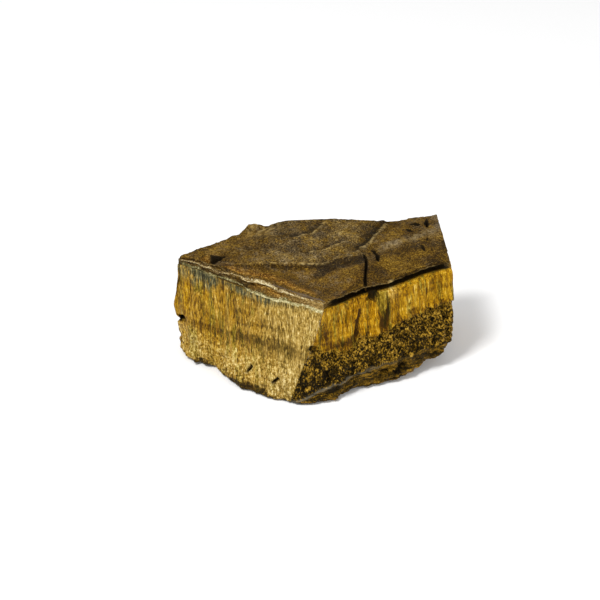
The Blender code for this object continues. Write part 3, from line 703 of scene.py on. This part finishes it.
def drape_crust(points, masks):
    """Heights and masks of the crust's top."""
    plan = points * (1, 1, 0)
    x, y = points[:, 0], points[:, 1]
    height, in_front, on_right = crust_form(x, y)
    swell = lumps(plan, CRUST_SWELL[1], seed=6)
    height = height + CRUST_GRAIN[0] * lumps(plan, CRUST_GRAIN[1], seed=5) + CRUST_SWELL[0] * swell

    grain = lumps(plan, 1.3, seed=21)
    fine = lumps(plan, 0.7, seed=22)
    flakes = lumps(plan, 10, seed=23, octaves=4)
    scarps = 0.45 * rise(0.1, 0.14, flakes) + 0.35 * rise(-0.2, -0.16, flakes) - 0.3
    front_of_ridge = along_x(x, RIDGE) - y
    on_plateau = (1 - in_front) * (1 - on_right)
    rough_face = (rise(-2, 3, x) * rise(18.5, 15.5, x) * in_front
        * rise(7, 4, front_of_ridge + 2.5 * swell))
    grainy = np.clip(0.35 + 0.65 * on_plateau + 0.9 * rough_face, 0, 1.3)
    relief = 0.22 + grainy * (0.2 * grain + 0.14 * fine) + (0.2 + 0.25 * on_plateau) * scarps
    relief -= 0.5 * rough_face
    # Painted highlights along the broken edges and on the ridge's crest, and painted shade beside the edges,
    # at the ridge's foot and along the fold.
    bright = np.zeros(len(x))
    shade = np.zeros(len(x))
    for way, drop, strong in EDGES:
        past = beside_way(x, y, way) + 0.35 * grain
        near = strong * rise(14, 8, np.abs(past))
        relief -= drop * rise(-0.1, 0.5, past) * rise(6, 1, past)
        bright = np.maximum(bright, near * unit(0.55 + 1.3 * fine) * bell(past + 0.2, 0.3))
        shade = np.maximum(shade, 0.8 * near * rise(0, 0.4, past) * rise(2.6, 0.5, past))
    painted_crest_highlight = bell(front_of_ridge + 0.25 + 0.25 * grain, 0.24) * (1 - on_right)
    painted_crest_highlight *= along_x(x, CREST_HIGHLIGHT_STRENGTH)
    bright = np.maximum(bright, painted_crest_highlight * unit(0.25 + 2.4 * fine))
    # Painted shade at the ridge's foot.
    foot = rise(-0.1, 0.3, front_of_ridge) * rise(2.6, 0.7, front_of_ridge + 1.6 * grain)
    foot *= along_x(x, FOOT_SHADE_STRENGTH) * (1 - on_right)
    shade = np.maximum(shade, 0.9 * foot * rise(18.5, 17, x))
    shade = np.maximum(shade, rough_face)
    knob = mound(x + 17.5, 5, y - 17, 5)
    bright = np.maximum(bright, knob * unit(0.4 + 1.2 * grain))
    dull = mound(x + 6, 9, y - 4, 8)
    sink, masks["outside_pit"] = pit_form(x, y)
    points[:, 2] = height + relief - sink

    reach = REACH[-1] + rim_distance(x, y)
    line_distances(x, reach, masks)
    masks["cream"] = rise(-9.5, -6.5, x) * rise(4.5, 3.9, reach) * 0.5
    cavity = rise(-0.05, 0.3, cavity_inside(x, reach))
    from_stripe = reach - along_x(x, STRIPE) + 0.8 * swell
    orange = np.where(from_stripe < 0, bell(from_stripe, 0.6), bell(from_stripe, 1.5))
    orange *= rise(-32, -26, x)
    orange *= rise(1.5, -0.5, x) * (0.85 + 0.5 * grain)
    on_fold = bell(beside_way(x, y, FOLD) + 0.4 * grain, 0.6) * in_front
    # Painted shade beside the fold.
    shade = np.maximum(shade, 0.6 * bell(beside_way(x, y, FOLD) - 1.1, 0.8) * in_front)
    points[:, 2] -= FOLD_DROP * on_fold
    pit_wall = rise(-33.8, -34.6, x) * rise(-29, -31, x) * rise(0.2, -0.1, masks["outside_pit"])
    masks["orange"] = unit(np.maximum(np.maximum(0.95 * orange, 0.22 * on_fold),
        np.maximum(pit_wall, cavity)))
    masks["crust"] = np.ones(len(points))
    left_part = rise(-8, -24, x + 3 * swell) * 0.8
    right_part = rise(0, 1.5, -beside_way(x, y, EDGES[0][0])) * rise(16, 19, x) * 0.8
    masks["warm"] = unit(np.maximum(np.maximum(left_part, right_part), in_front))
    # A pale grey line along the right slope's upper edge: a painted highlight, coloured grey and lightened.
    painted_grey_edge_highlight = bell(y - 0.61 * (x - 20.8) - 1.3, 1.9) * rise(18, 24, x)
    painted_grey_edge_highlight *= rise(43, 38, x) * np.clip(0.8 + 1.2 * fine, 0.2, 1.2)
    right_corner = rise(37, 41, x + 2 * swell) * rise(4, 10, y)
    masks["grey"] = unit(0.6 * painted_grey_edge_highlight + 0.4 * rough_face + 0.5 * right_corner + 0.3 * dull)
    gold_patch = rise(0.15, 0.5, lumps(plan * (0.6, 1, 1), 9, seed=25) + 0.25)
    masks["column"] = gold_patch * on_right
    shade = np.maximum(shade, 0.55 * on_right * (1 - gold_patch))
    bright = np.maximum(bright, 0.35 * painted_grey_edge_highlight * unit(0.5 + 1.5 * grain))
    masks["relief"] = np.clip(2.2 * (relief + 0.5 * rough_face - 0.22), -1, 1)
    # Painted light on the pit's orange wall and in the hollow.
    masks["bright"] = np.maximum(np.maximum(bright, 0.22 * pit_wall), cavity)
    masks["shade"] = np.maximum(shade, 0.3 * pit_wall)
    masks["deep"] = np.zeros(len(x))
    return points


def press_base(points, masks):
    """Leave hollows in the underside, and flatten what reaches the ground."""
    plan = points * (1, 1, 0)
    from_middle = np.hypot(plan[:, 0] / 34, plan[:, 1] / 20)
    hollows = HOLLOWS[0] * lumps(plan, HOLLOWS[1], seed=8) + HOLLOW_BIAS
    hollows += 1.2 * rise(0.7, 1.2, from_middle)
    points[:, 2] = np.maximum(0, hollows + 0.25 * lumps(plan, 1.6, seed=9))
    masks["crust"] = np.ones(len(points))
    return points


def spread_inside(points, u, v, on_cap):
    """Even out a cap's inner points between those of its border."""
    column = np.rint(u[on_cap] * CELLS_U).astype(int)
    row = np.rint(v[on_cap] * CELLS_V).astype(int)
    plan = np.zeros((CELLS_U + 1, CELLS_V + 1, 2))
    plan[column, row] = points[on_cap, :2]
    for _ in range(SPREADING_PASSES):
        plan[1:-1, 1:-1] = 0.25 * (plan[:-2, 1:-1] + plan[2:, 1:-1]
            + plan[1:-1, :-2] + plan[1:-1, 2:])
    points[on_cap, :2] = plan[column, row]


def shape_stone(mesh):
    """Move the grid's vertices onto the stone; return their masks."""
    tables = face_tables()
    grid = np.array([vertex.co for vertex in mesh.verts])
    u, v, share = grid.T
    level = levels_of_rows(share)
    points = np.zeros_like(grid)
    masks = {name: np.zeros(len(grid)) for name in MASKS}
    masks.update({name: np.full(len(grid), FAR) for name in DISTANCES})

    def keep(part_masks, where):
        for name, values in part_masks.items():
            masks[name][where] = values

    placed = np.zeros(len(points), dtype=bool)
    sides = [(v < ON_EDGE, u), (u > 1 - ON_EDGE, v), (v > 1 - ON_EDGE, 1 - u),
        (u < ON_EDGE, 1 - v)]
    for face, (table, (on_side, way)) in enumerate(zip(tables, sides)):
        on_side = on_side & ~placed
        placed |= on_side
        spot, height = way[on_side], level[on_side]
        tangent = (read_face(table, np.minimum(spot + NEARBY, 1), height)
            - read_face(table, np.maximum(spot - NEARBY, 0), height))
        out = np.stack([tangent[:, 1], -tangent[:, 0], np.zeros(len(tangent))], axis=1)
        out /= np.linalg.norm(out, axis=1, keepdims=True)
        part_masks = {}
        points[on_side] = shape_side(read_face(table, spot, height), height, out, spot * table[2],
            face, part_masks)
        keep(part_masks, on_side)
    on_base, on_top = share < ON_EDGE, share > 1 - ON_EDGE
    for ring, on_cap in ((GROUND, on_base), (RIM, on_top)):
        inner = on_cap & ~placed
        points[inner] = cap_points(tables, u[inner], v[inner], ring)
    spread_inside(points, u, v, on_base)
    for finish, where in ((drape_crust, on_top), (press_base, on_base)):
        part_masks = {}
        points[where] = finish(points[where], part_masks)
        keep(part_masks, where)
    return points, masks


def draw_inside(points, low, high, margin):
    """Press points that near the box's faces softly inwards, so none is left outside."""
    reach = 0.5 * (high - low)
    middle = 0.5 * (high + low)
    off = np.abs(points - middle) - (reach - margin)
    pressed = reach - margin + margin * np.tanh(np.maximum(off, 0) / margin)
    inward = middle + np.sign(points - middle) * pressed
    inward = np.where(off > 0, inward, points)
    inward[:, 2] = np.where(points[:, 2] < middle[2], points[:, 2], inward[:, 2])
    return inward


def lay_out_map(data):
    """Give each side of the grid, while it is still a unit cube, its own patch of the map."""
    places = np.empty(len(data.vertices) * 3, dtype=np.float32)
    data.vertices.foreach_get("co", places)
    corners = np.empty(len(data.loops), dtype=np.int32)
    data.loops.foreach_get("vertex_index", corners)
    quads = places.reshape(-1, 3)[corners].reshape(-1, 4, 3)
    middles = quads.mean(axis=1)
    axis = np.argmax(np.abs(middles - 0.5), axis=1)
    high = np.take_along_axis(middles, axis[:, None], axis=1)[:, 0] > 0.5
    across = np.where((axis == 0)[:, None], quads[:, :, 1], quads[:, :, 0])
    up = np.where((axis == 2)[:, None], quads[:, :, 1], quads[:, :, 2])
    mirrored = high == (axis == 1)
    across = np.where(mirrored[:, None], 1 - across, across)
    room = 1 - 2 * MAP_MARGIN
    right = (high[:, None] + MAP_MARGIN + room * across) / 2
    above = (axis[:, None] + MAP_MARGIN + room * up) / 3
    layer = data.uv_layers.new(name="OFBake")
    layer.data.foreach_set("uv", np.stack([right, above], axis=2).astype(np.float32).ravel())


def put_in_scene(name, data):
    """A new object of this data, linked to the scene."""
    made = bpy.data.objects.new(name, data)
    bpy.context.scene.collection.objects.link(made)
    return made


def make_stone(box):
    """The stone's surface as one object inside the box, with its masks as attributes."""
    grid = wrapped_grid()
    points, masks = shape_stone(grid)
    points = (points - PLAN_MIDDLE) * MM
    low, high = np.array(box)
    points = draw_inside(points, low, high, BOX_MARGIN * MM)
    data = bpy.data.meshes.new("stone")
    grid.to_mesh(data)
    grid.free()
    lay_out_map(data)
    data.vertices.foreach_set("co", points.astype(np.float32).ravel())
    data.update()
    for name, values in masks.items():
        layer = data.attributes.new(name, "FLOAT", "POINT")
        layer.data.foreach_set("value", values.astype(np.float32))
    data.shade_smooth()
    return put_in_scene("stone", data)


# ---------------- materials
class Graph:
    """Short calls for building one material's nodes."""

    def __init__(self, name):
        self.material = bpy.data.materials.new(name)
        self.material.use_nodes = True
        self.nodes = self.material.node_tree.nodes
        self.shader = self.nodes["Principled BSDF"]

    def feed(self, node, inputs):
        """Link a node's inputs to sockets, or set them to constants."""
        for name, value in inputs.items():
            socket = node.inputs[name]
            if isinstance(value, bpy.types.NodeSocket):
                self.material.node_tree.links.new(value, socket)
            else:
                socket.default_value = value

    def add(self, kind, inputs, output, **settings):
        """One output of a new node."""
        node = self.nodes.new(kind)
        for name, value in settings.items():
            setattr(node, name, value)
        self.feed(node, inputs)
        return node.outputs[output]

    def mask(self, name):
        return self.add("ShaderNodeAttribute", {}, "Fac", attribute_name=name)

    def math(self, operation, a, b=0, clamp=False):
        return self.add("ShaderNodeMath", {0: a, 1: b}, 0, operation=operation, use_clamp=clamp)

    def times(self, a, b, clamp=False):
        return self.math("MULTIPLY", a, b, clamp)

    def less(self, a, b):
        return self.math("SUBTRACT", a, b)

    def total(self, *terms):
        """The sum of value * weight over the given pairs."""
        result = 0
        for value, weight in terms:
            result = self.add("ShaderNodeMath", {0: value, 1: weight, 2: result}, 0,
                operation="MULTIPLY_ADD")
        return result

    def mix(self, share, a, b, strength=None):
        """a where the share is 0, b where it is 1; a strength scales the share."""
        if strength is not None:
            share = self.times(share, strength)
        return self.add("ShaderNodeMix", {"Factor": share, 6: a, 7: b}, 2, data_type="RGBA")

    def steps(self, value, low, high):
        """0 below low and 1 above high."""
        return self.add("ShaderNodeMapRange", {"Value": value, "From Min": low, "From Max": high},
            "Result", interpolation_type="SMOOTHSTEP")

    def ramp(self, value, *stops):
        """Colours between stops, each given as its place, red, green and blue."""
        result = self.add("ShaderNodeValToRGB", {"Fac": value}, "Color")
        elements = result.node.color_ramp.elements
        while len(elements) < len(stops):
            elements.new(0.5)
        for element, (place, *colour) in zip(elements, stops):
            element.position = place
            element.color = (*colour, 1)
        return result

    def noise(self, vector, scale, detail=2, roughness=0.5):
        return self.add("ShaderNodeTexNoise", {"Vector": vector, "Scale": scale, "Detail": detail,
            "Roughness": roughness}, "Fac")

    def stretched(self, vector, scale, turn=(0, 0, 0)):
        return self.add("ShaderNodeMapping", {"Vector": vector, "Scale": scale, "Rotation": turn},
            "Vector")


def stone_material():
    """Golden fibres, their hackly break, the brown crust and the pale vein."""
    g = Graph("tigers_eye")
    mask, mix, ramp, total, steps, texture = g.mask, g.mix, g.ramp, g.total, g.steps, g.noise
    times, less, stretched = g.times, g.less, g.stretched
    place = g.add("ShaderNodeTexCoord", {}, "Object")
    mm = stretched(place, (1000, 1000, 1000))
    leaning = stretched(mm, (1, 1, 1), (0, 0.08, 0))
    strand = stretched(leaning, (1, 1, 0.05))
    chopped = stretched(leaning, (1, 1, 0.15))
    bundles = texture(strand, 0.8, 2, 0.6)
    long_threads = texture(strand, 2.1, 2, 0.65)
    threads = texture(chopped, 2.6, 2, 0.7)
    speckle = texture(mm, 1.9, 3, 0.65)
    blotches = texture(mm, 0.16, 3, 0.55)
    bands = texture(stretched(mm, (0.04, 0.04, 0.7)), 1, 2)
    # The relief mask lightens raised parts and darkens sunken ones in the colour: painted shade of the
    # relief.
    relief = mask("relief")
    ragged = texture(mm, 1.2, 3, 0.7)

    tone = total((bundles, 0.45), (long_threads, 0.55), (threads, 0.9), (speckle, 0.3),
        (relief, 0.08), (bands, 0.25), (blotches, 0.2), (mask("shade"), -0.3),
        (mask("bright"), 0.16))
    flecked = times(mask("chippy"), less(ragged, 0.5))
    tone = less(total((tone, 1), (flecked, 0.85)), 0.845)
    tan = ramp(tone, (0.24, 0.05, 0.024, 0.003), (0.38, 0.165, 0.086, 0.007),
        (0.5, 0.345, 0.187, 0.016), (0.62, 0.5, 0.3, 0.048), (0.78, 0.78, 0.6, 0.22))
    amber = ramp(tone, (0.26, 0.04, 0.016, 0.001), (0.38, 0.165, 0.072, 0.001),
        (0.52, 0.37, 0.172, 0.002), (0.66, 0.63, 0.33, 0.006), (0.8, 0.82, 0.58, 0.15))
    fibre = mix(mask("amber"), tan, amber)
    hues = texture(stretched(leaning, (1, 1, 0.12)), 0.42, 3, 0.65)
    orange_gold = ramp(tone, (0.26, 0.07, 0.028, 0.001), (0.4, 0.235, 0.112, 0.003),
        (0.52, 0.4, 0.215, 0.005), (0.66, 0.58, 0.34, 0.02), (0.8, 0.84, 0.62, 0.16))
    olive = ramp(tone, (0.26, 0.028, 0.02, 0.001), (0.4, 0.11, 0.076, 0.004),
        (0.52, 0.245, 0.17, 0.012), (0.66, 0.44, 0.33, 0.045), (0.8, 0.72, 0.6, 0.2))
    gilded = g.math("ADD", times(mask("column"), 0.7), times(steps(hues, 0.5, 0.63), 0.68),
        clamp=True)
    fibre = mix(gilded, fibre, orange_gold)
    fibre = mix(steps(hues, 0.49, 0.37), fibre, olive, 0.8)
    greyed = ramp(tone, (0.26, 0.06, 0.038, 0.007), (0.42, 0.2, 0.128, 0.025),
        (0.54, 0.38, 0.25, 0.06), (0.68, 0.58, 0.42, 0.14), (0.8, 0.82, 0.68, 0.34))
    fibre = mix(mask("pale"), fibre, greyed, 0.8)
    streaky_blue = times(mask("blue"), steps(long_threads, 0.74, 0.46))
    blue = ramp(tone, (0.3, 0.017, 0.016, 0.007), (0.5, 0.092, 0.084, 0.036),
        (0.68, 0.3, 0.25, 0.105))
    fibre = mix(times(streaky_blue, 1.35, clamp=True), fibre, blue)

    cells = g.add("ShaderNodeTexVoronoi", {"Vector": stretched(mm, (1, 1, 0.6)), "Scale": 2.5},
        "Color")
    splinter = times(cells, 1)          # the cell's colour as one value
    shards = texture(stretched(mm, (1, 1, 0.55), (0, 0.3, 0)), 1.85, 3, 0.75)
    # The broken part's tone also takes painted shade and highlights from the relief and the masks.
    shard_tone = total((splinter, 0.44), (shards, 1.5), (relief, 0.16), (speckle, 0.45),
        (texture(mm, 0.42, 2, 0.6), 0.8), (mask("bright"), 0.3), (mask("shade"), -0.16))
    near_break = steps(mask("above_break"), -7, 0)
    shard_tone = less(total((shard_tone, 1), (near_break, 0.055)), 1.125)
    broken = ramp(shard_tone, (0.34, 0.006, 0.004, 0.001), (0.47, 0.04, 0.022, 0.002),
        (0.57, 0.15, 0.082, 0.006), (0.68, 0.38, 0.205, 0.014), (0.82, 0.62, 0.38, 0.06))
    break_edge = total((mask("above_break"), 1), (ragged, -6.5), (long_threads, -4.5))
    is_broken = steps(break_edge, -4.5, -6.4)
    colour = mix(is_broken, fibre, broken)

    grit = texture(mm, 3.3, 2, 0.8)
    # The crust's tone also takes painted shade and highlights from the relief and the masks.
    crust_tone = total((blotches, 0.35), (speckle, 1.00), (grit, 0.8), (relief, 0.11),
        (mask("shade"), -0.2), (mask("bright"), 0.1))
    crust_tone = less(crust_tone, 0.605)
    flat_crust = ramp(crust_tone, (0.28, 0.012, 0.008, 0.003), (0.4, 0.05, 0.029, 0.009),
        (0.52, 0.11, 0.066, 0.02), (0.64, 0.26, 0.165, 0.045), (0.76, 0.48, 0.34, 0.1))
    warm_crust = ramp(crust_tone, (0.28, 0.018, 0.009, 0.002), (0.41, 0.066, 0.033, 0.005),
        (0.53, 0.125, 0.066, 0.01), (0.68, 0.26, 0.15, 0.028))
    grey_crust = ramp(crust_tone, (0.32, 0.016, 0.012, 0.008), (0.46, 0.09, 0.07, 0.042),
        (0.62, 0.27, 0.215, 0.14))
    crust = mix(mask("warm"), flat_crust, warm_crust)
    patches = texture(mm, 0.28, 4, 0.7)
    crust = mix(steps(patches, 0.47, 0.36), crust, grey_crust, 0.4)
    crust = mix(mask("grey"), crust, grey_crust)
    # Painted light and shade from the masks in the hollow and on the orange walls.
    orange_tone = total((crust_tone, 1), (mask("bright"), 0.14), (mask("shade"), -0.12))
    orange = ramp(orange_tone, (0.26, 0.03, 0.01, 0.001), (0.42, 0.16, 0.062, 0.005),
        (0.52, 0.34, 0.155, 0.016), (0.66, 0.58, 0.34, 0.07), (0.8, 0.8, 0.62, 0.26))
    golden = ramp(crust_tone, (0.3, 0.024, 0.011, 0.001), (0.44, 0.095, 0.046, 0.003),
        (0.56, 0.21, 0.112, 0.008), (0.7, 0.42, 0.26, 0.035))
    crust = mix(mask("column"), crust, golden, 0.75)
    crust = mix(steps(patches, 0.5, 0.6), crust, golden, 0.62)
    crust = mix(mask("orange"), crust, orange, 0.9)
    flecks = steps(texture(mm, 1.7, 3, 0.8), 0.585, 0.655)
    crust = mix(flecks, crust, (0.34, 0.21, 0.035, 1), 0.45)
    # Near-black specks: painted shade of small pits in the crust.
    hollows = steps(texture(mm, 1.1, 2, 0.7), 0.39, 0.32)
    crust = mix(hollows, crust, (0.01, 0.007, 0.004, 1), 0.55)
    # Painted highlights, with paler tones, lighten the crust towards pale gold; less on the orange walls.
    glints = times(mask("bright"), less(0.75, times(mask("orange"), 0.68)))
    crust = mix(glints, crust, (0.52, 0.38, 0.15, 1))
    colour = mix(mask("crust"), colour, crust)
    streaks = texture(stretched(mm, (0.25, 0.25, 1.6), (0, 0.25, 0)), 0.8, 3, 0.6)
    skin_tone = total((crust_tone, 0.6), (streaks, 0.9))
    skin = ramp(less(skin_tone, 0.25), (0.36, 0.008, 0.005, 0.001), (0.48, 0.075, 0.042, 0.003),
        (0.58, 0.23, 0.118, 0.008), (0.7, 0.44, 0.25, 0.03))
    skin_edge = total((mask("above_skin"), 1), (ragged, 1.2))
    colour = mix(steps(skin_edge, 0.9, 0.3), colour, skin)
    line = times(mask("grey"), less(1, mask("crust")))
    colour = mix(line, colour, (0.24, 0.21, 0.145, 1), 0.7)

    def line_share(name, wander, reach):
        """1 on a line, 0 off it, with an edge that wanders by a share of its width."""
        off = g.math("ABSOLUTE", mask(name))
        return steps(total((off, 1), (ragged, wander)), reach + 0.25, reach - 0.35)

    cream = ramp(crust_tone, (0.34, 0.1, 0.05, 0.008), (0.5, 0.31, 0.18, 0.044),
        (0.66, 0.58, 0.42, 0.16))
    colour = mix(mask("cream"), colour, cream)
    pale_line = ramp(crust_tone, (0.32, 0.2, 0.12, 0.035), (0.48, 0.56, 0.43, 0.2),
        (0.64, 0.9, 0.8, 0.52))
    colour = mix(line_share("lip_off", 2.6, 2.1), colour, pale_line)
    dusk = (0.12, 0.092, 0.07, 1)
    colour = mix(line_share("dusk_off", 3.4, 2.6), colour, dusk, 0.7)
    vein = ramp(crust_tone, (0.32, 0.16, 0.135, 0.045), (0.48, 0.4, 0.34, 0.145),
        (0.66, 0.8, 0.72, 0.42))
    colour = mix(line_share("vein_off", 2.8, 2.25), colour, vein)
    # Painted shade, near black: in the pits and the crack but not on their orange walls, and wherever the
    # deep mask sets it, in the clefts, the crevice, along the step and in the gap under the stone, with the
    # dark crust there.
    pit_edge = total((mask("outside_pit"), 1), (ragged, 0.7))
    painted_pit_shade = times(steps(pit_edge, 0.68, 0.44), less(1, times(mask("orange"), 0.9)))
    dark = g.math("MAXIMUM", mask("deep"), painted_pit_shade)
    colour = mix(dark, colour, (0.006, 0.004, 0.002, 1), 0.95)

    on_crust = mask("crust")
    rough = total((speckle, 0.25), (on_crust, 0.16), (bundles, -0.12))
    not_crust = less(1, on_crust)
    fibre_height = total((bundles, 0.6), (threads, 0.8), (speckle, 0.25))
    shard_height = total((shards, 1.2), (splinter, 0.35), (speckle, 0.4))
    crust_height = total((speckle, 0.9), (grit, 0.5), (shards, 0.3))
    height = mix(is_broken, fibre_height, shard_height)
    height = total((times(not_crust, height), 1), (times(on_crust, crust_height), 1.1))
    bump = g.add("ShaderNodeBump", {"Strength": 1, "Distance": BUMP_DEPTH, "Height": height},
        "Normal")
    g.feed(g.shader, {"Base Color": colour, "Roughness": g.math("ADD", rough, 0.38, clamp=True),
        "Specular IOR Level": 0.1, "Specular Tint": (1, 0.82, 0.5, 1), "Normal": bump})
    return g.material


# ---------------- stage
CAMERA_AIM = Vector((-0.00428, -0.01346, 0.02927))
CAMERA_DISTANCE = 0.6
CAMERA_ELEVATION = np.radians(30)
CAMERA_LENS = 110.77
SENSOR_WIDTH = 36
FLOOR_SIZE, FLOOR_COLOUR, FLOOR_ROUGHNESS = 3, (0.9, 0.9, 0.9, 1), 0.9
LIGHTS_FACE = Vector((0, 0, 0.02))
LIGHTS = (("key", (-0.45, -0.45, 1), 0.3, 11),      # name, place, size and power
          ("fill", (0.85, -0.6, 0.45), 0.6, 4))
SKY_STRENGTH = 0.6


def make_camera():
    """The camera looks along +Y and down by its elevation."""
    data = bpy.data.cameras.new("camera")
    data.lens = CAMERA_LENS
    data.sensor_width = SENSOR_WIDTH
    camera = put_in_scene("camera", data)
    back = Vector((0, -np.cos(CAMERA_ELEVATION), np.sin(CAMERA_ELEVATION)))
    camera.location = CAMERA_AIM + CAMERA_DISTANCE * back
    camera.rotation_euler = (np.pi / 2 - CAMERA_ELEVATION, 0, 0)
    bpy.context.scene.camera = camera


def make_floor():
    """A wide, plain pale floor."""
    mesh = bmesh.new()
    bmesh.ops.create_grid(mesh, x_segments=1, y_segments=1, size=FLOOR_SIZE)
    data = bpy.data.meshes.new("floor")
    mesh.to_mesh(data)
    mesh.free()
    floor = put_in_scene("floor", data)
    g = Graph("pale_floor")
    g.feed(g.shader, {"Base Color": FLOOR_COLOUR, "Roughness": FLOOR_ROUGHNESS})
    data.materials.append(g.material)


def add_light(name, place, size, power):
    """A square soft light that faces the stone."""
    data = bpy.data.lights.new(name, "AREA")
    data.shape = "SQUARE"
    data.size = size
    data.energy = power
    light = put_in_scene(name, data)
    light.location = place
    light.rotation_euler = (LIGHTS_FACE - Vector(place)).to_track_quat("-Z", "Y").to_euler()


def make_lights():
    """Two soft boxes and an even sky."""
    for light in LIGHTS:
        add_light(*light)
    world = bpy.data.worlds.new("sky")
    world.use_nodes = True
    background = world.node_tree.nodes["Background"]
    background.inputs["Color"].default_value = (1, 1, 1, 1)
    background.inputs["Strength"].default_value = SKY_STRENGTH
    bpy.context.scene.world = world
    bpy.context.scene.view_settings.view_transform = "Standard"


stone = make_stone(cad_bounds)
stone.data.materials.append(stone_material())
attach(stone, "root")
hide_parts(NODE)
make_camera()
make_floor()
make_lights()
